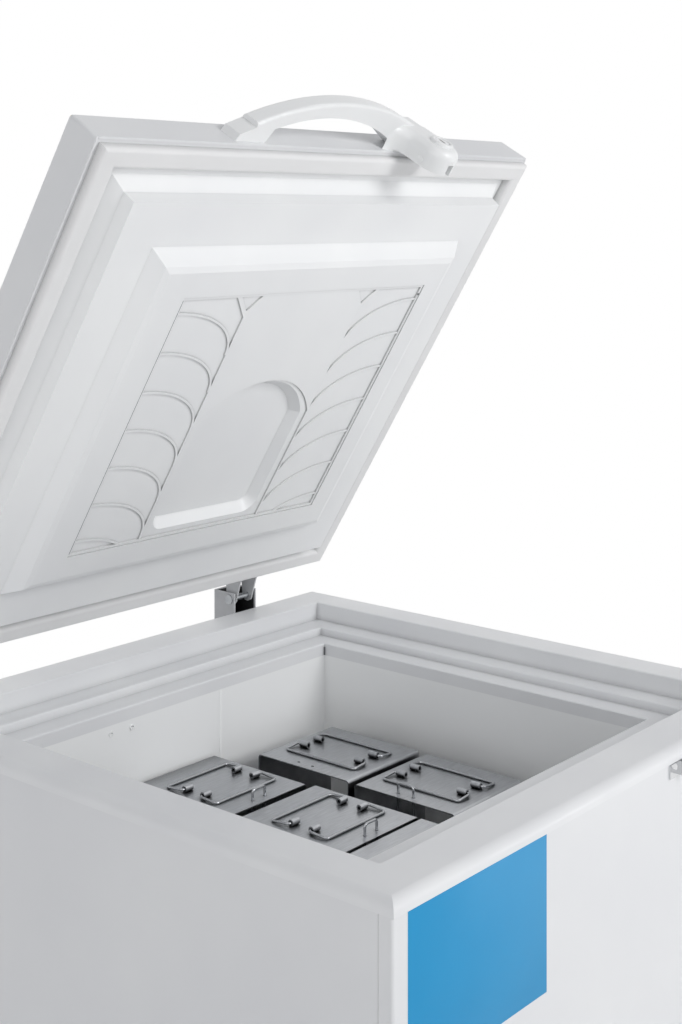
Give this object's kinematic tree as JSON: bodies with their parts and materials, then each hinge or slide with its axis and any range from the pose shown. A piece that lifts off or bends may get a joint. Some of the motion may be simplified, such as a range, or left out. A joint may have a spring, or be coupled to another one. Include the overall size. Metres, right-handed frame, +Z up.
{
  "type": "chest ultra low temperature freezer",
  "caption": "White chest freezer for ultra low temperatures, lid open, with a bow handle, lock, stepped collar, stainless racks and castors.",
  "frame": {"origin": "middle of the box round the whole freezer, on the floor", "axes": "+X to the right seen from the front, +Y to the back where the hinges are, +Z up"},
  "size_m": [0.75, 0.7344, 1.5607],
  "materials": {
    "white_enamel": "powder-coated white",
    "white_collar": "satin white extrusion",
    "liner_white": "coated white sheet",
    "foam": "rigid foam",
    "copper": "drawn copper tube",
    "zinc_steel": "zinc-plated",
    "grey_hinge": "satin grey",
    "grey_plastic": "moulded grey",
    "black_plastic": "moulded black",
    "display": "dark gloss",
    "fins": "mill finish",
    "black_enamel": "black enamel",
    "black_rubber": "soft",
    "white_rubber": "soft white",
    "white_plastic": "moulded white",
    "chrome": "plated",
    "stainless": "brushed stainless",
    "grey_tread": "grey rubber"
  },
  "bodies": {
    "root": {"collar": "white_collar", "insulation_slabs": "foam", "liner": "liner_white", "evaporator_coil": "copper", "front_panel": "white_enamel", "rear_panel": "white_enamel", "side_panels": "white_enamel", "base_tray": "zinc_steel", "bottom_plate": "zinc_steel", "front_grille": "grey_plastic", "control_panel": "grey_plastic", "display_window": "display", "condenser": "fins", "fan_frame": "black_plastic", "compressor": "black_enamel", "compressor_feet": "black_rubber", "refrigerant_lines": "copper", "mains_inlet": "black_plastic", "lock_keeper": "chrome", "castor_plates": "zinc_steel", "hinge_channels": "grey_hinge", "hinge_pins": "zinc_steel", "hinge_springs": "zinc_steel"},
    "lid": {"lid_shell": "white_enamel", "lid_foam": "foam", "lid_liner": "white_plastic", "lid_relief_panel": "white_plastic", "lid_gasket": "white_rubber", "lid_handle": "white_plastic", "lock_housing": "white_plastic", "hinge_arms": "grey_hinge"},
    "key": {"lock_cylinder": "chrome"},
    "bolt": {"lock_bolt": "zinc_steel"},
    "fan": {"fan_rotor": "black_plastic"},
    "fork_front_left": {"castor_fork_front_left": "zinc_steel"},
    "wheel_front_left": {"castor_wheel_front_left": "grey_tread"},
    "fork_front_right": {"castor_fork_front_right": "zinc_steel"},
    "wheel_front_right": {"castor_wheel_front_right": "grey_tread"},
    "fork_rear_left": {"castor_fork_rear_left": "zinc_steel"},
    "wheel_rear_left": {"castor_wheel_rear_left": "grey_tread"},
    "fork_rear_right": {"castor_fork_rear_right": "zinc_steel"},
    "wheel_rear_right": {"castor_wheel_rear_right": "grey_tread"},
    "rack_a": {"rack_a": "stainless"},
    "rack_a_front_bail": {"rack_a_front_bail": "stainless"},
    "rack_a_rear_bail": {"rack_a_rear_bail": "stainless"},
    "rack_a_retainer": {"rack_a_retainer": "stainless"},
    "rack_b": {"rack_b": "stainless"},
    "rack_b_front_bail": {"rack_b_front_bail": "stainless"},
    "rack_b_rear_bail": {"rack_b_rear_bail": "stainless"},
    "rack_c": {"rack_c": "stainless"},
    "rack_c_front_bail": {"rack_c_front_bail": "stainless"},
    "rack_c_rear_bail": {"rack_c_rear_bail": "stainless"},
    "rack_c_retainer": {"rack_c_retainer": "stainless"},
    "rack_d": {"rack_d": "stainless"},
    "rack_d_front_bail": {"rack_d_front_bail": "stainless"},
    "rack_d_rear_bail": {"rack_d_rear_bail": "stainless"},
    "rack_d_retainer": {"rack_d_retainer": "stainless"},
    "rack_e": {"rack_e": "stainless"},
    "rack_e_front_bail": {"rack_e_front_bail": "stainless"},
    "rack_e_rear_bail": {"rack_e_rear_bail": "stainless"}
  },
  "joints": [
    {"name": "lid_hinge", "type": "hinge", "parent": "root", "child": "lid", "pos_m": [0, 0.33885, 0.9134], "axis": [-1, 0, 0], "range_deg": [-58.73, 26]},
    {"name": "lock_turn", "type": "hinge", "parent": "lid", "child": "key", "pos_m": [0.115, -0.06811, 1.51167], "axis": [0, -0.5191, 0.8547], "range_deg": [0, 90]},
    {"name": "bolt_slide", "type": "slide", "parent": "lid", "child": "bolt", "axis": [1, 0, 0], "range_m": [0, 0.01]},
    {"name": "fan_spin", "type": "hinge", "parent": "root", "child": "fan", "pos_m": [-0.17, -0.26625, 0.2], "axis": [0, 1, 0], "continuous": true},
    {"name": "swivel_front_left", "type": "hinge", "parent": "root", "child": "fork_front_left", "pos_m": [-0.313, -0.28875, 0.095], "axis": [0, 0, 1], "continuous": true},
    {"name": "wheel_spin_front_left", "type": "hinge", "parent": "fork_front_left", "child": "wheel_front_left", "pos_m": [-0.313, -0.26675, 0.0375], "axis": [1, 0, 0], "continuous": true},
    {"name": "swivel_front_right", "type": "hinge", "parent": "root", "child": "fork_front_right", "pos_m": [0.313, -0.28875, 0.095], "axis": [0, 0, 1], "continuous": true},
    {"name": "wheel_spin_front_right", "type": "hinge", "parent": "fork_front_right", "child": "wheel_front_right", "pos_m": [0.313, -0.26675, 0.0375], "axis": [1, 0, 0], "continuous": true},
    {"name": "swivel_rear_left", "type": "hinge", "parent": "root", "child": "fork_rear_left", "pos_m": [-0.313, 0.26125, 0.095], "axis": [0, 0, 1], "continuous": true},
    {"name": "wheel_spin_rear_left", "type": "hinge", "parent": "fork_rear_left", "child": "wheel_rear_left", "pos_m": [-0.313, 0.28325, 0.0375], "axis": [1, 0, 0], "continuous": true},
    {"name": "swivel_rear_right", "type": "hinge", "parent": "root", "child": "fork_rear_right", "pos_m": [0.313, 0.26125, 0.095], "axis": [0, 0, 1], "continuous": true},
    {"name": "wheel_spin_rear_right", "type": "hinge", "parent": "fork_rear_right", "child": "wheel_rear_right", "pos_m": [0.313, 0.28325, 0.0375], "axis": [1, 0, 0], "continuous": true},
    {"name": "lift_rack_a", "type": "slide", "parent": "root", "child": "rack_a", "axis": [0, 0, 1], "range_m": [0, 0.25]},
    {"name": "turn_rack_a_front_bail", "type": "hinge", "parent": "rack_a", "child": "rack_a_front_bail", "pos_m": [-0.0235, 0.12575, 0.7796], "axis": [-1, 0, 0], "range_deg": [0, 100]},
    {"name": "turn_rack_a_rear_bail", "type": "hinge", "parent": "rack_a", "child": "rack_a_rear_bail", "pos_m": [-0.0235, 0.15375, 0.7796], "axis": [1, 0, 0], "range_deg": [0, 100]},
    {"name": "lift_rack_a_retainer", "type": "slide", "parent": "rack_a", "child": "rack_a_retainer", "axis": [0, 0, 1], "range_m": [0, 0.2]},
    {"name": "lift_rack_b", "type": "slide", "parent": "root", "child": "rack_b", "axis": [0, 0, 1], "range_m": [0, 0.28]},
    {"name": "turn_rack_b_front_bail", "type": "hinge", "parent": "rack_b", "child": "rack_b_front_bail", "pos_m": [0.1395, 0.10675, 0.7796], "axis": [0, 1, 0], "range_deg": [0, 100]},
    {"name": "turn_rack_b_rear_bail", "type": "hinge", "parent": "rack_b", "child": "rack_b_rear_bail", "pos_m": [0.1675, 0.10675, 0.7796], "axis": [0, -1, 0], "range_deg": [0, 100]},
    {"name": "lift_rack_c", "type": "slide", "parent": "root", "child": "rack_c", "axis": [0, 0, 1], "range_m": [0, 0.49]},
    {"name": "turn_rack_c_front_bail", "type": "hinge", "parent": "rack_c", "child": "rack_c_front_bail", "pos_m": [0.137, -0.04025, 0.7796], "axis": [0, 1, 0], "range_deg": [0, 100]},
    {"name": "turn_rack_c_rear_bail", "type": "hinge", "parent": "rack_c", "child": "rack_c_rear_bail", "pos_m": [0.165, -0.04025, 0.7796], "axis": [0, -1, 0], "range_deg": [0, 100]},
    {"name": "lift_rack_c_retainer", "type": "slide", "parent": "rack_c", "child": "rack_c_retainer", "axis": [0, 0, 1], "range_m": [0, 0.36]},
    {"name": "lift_rack_d", "type": "slide", "parent": "root", "child": "rack_d", "axis": [0, 0, 1], "range_m": [0, 0.49]},
    {"name": "turn_rack_d_front_bail", "type": "hinge", "parent": "rack_d", "child": "rack_d_front_bail", "pos_m": [-0.0185, -0.02625, 0.7796], "axis": [-1, 0, 0], "range_deg": [0, 100]},
    {"name": "turn_rack_d_rear_bail", "type": "hinge", "parent": "rack_d", "child": "rack_d_rear_bail", "pos_m": [-0.0185, 0.00175, 0.7796], "axis": [1, 0, 0], "range_deg": [0, 100]},
    {"name": "lift_rack_d_retainer", "type": "slide", "parent": "rack_d", "child": "rack_d_retainer", "axis": [0, 0, 1], "range_m": [0, 0.36]},
    {"name": "lift_rack_e", "type": "slide", "parent": "root", "child": "rack_e", "axis": [0, 0, 1], "range_m": [0, 0.49]},
    {"name": "turn_rack_e_front_bail", "type": "hinge", "parent": "rack_e", "child": "rack_e_front_bail", "pos_m": [-0.0185, -0.17275, 0.7796], "axis": [-1, 0, 0], "range_deg": [0, 100]},
    {"name": "turn_rack_e_rear_bail", "type": "hinge", "parent": "rack_e", "child": "rack_e_rear_bail", "pos_m": [-0.0185, -0.14475, 0.7796], "axis": [1, 0, 0], "range_deg": [0, 100]}
  ],
  "couplings": [
    {"joint": "bolt_slide", "follows": "lock_turn", "m_per_rad": 0.0063662}
  ]
}
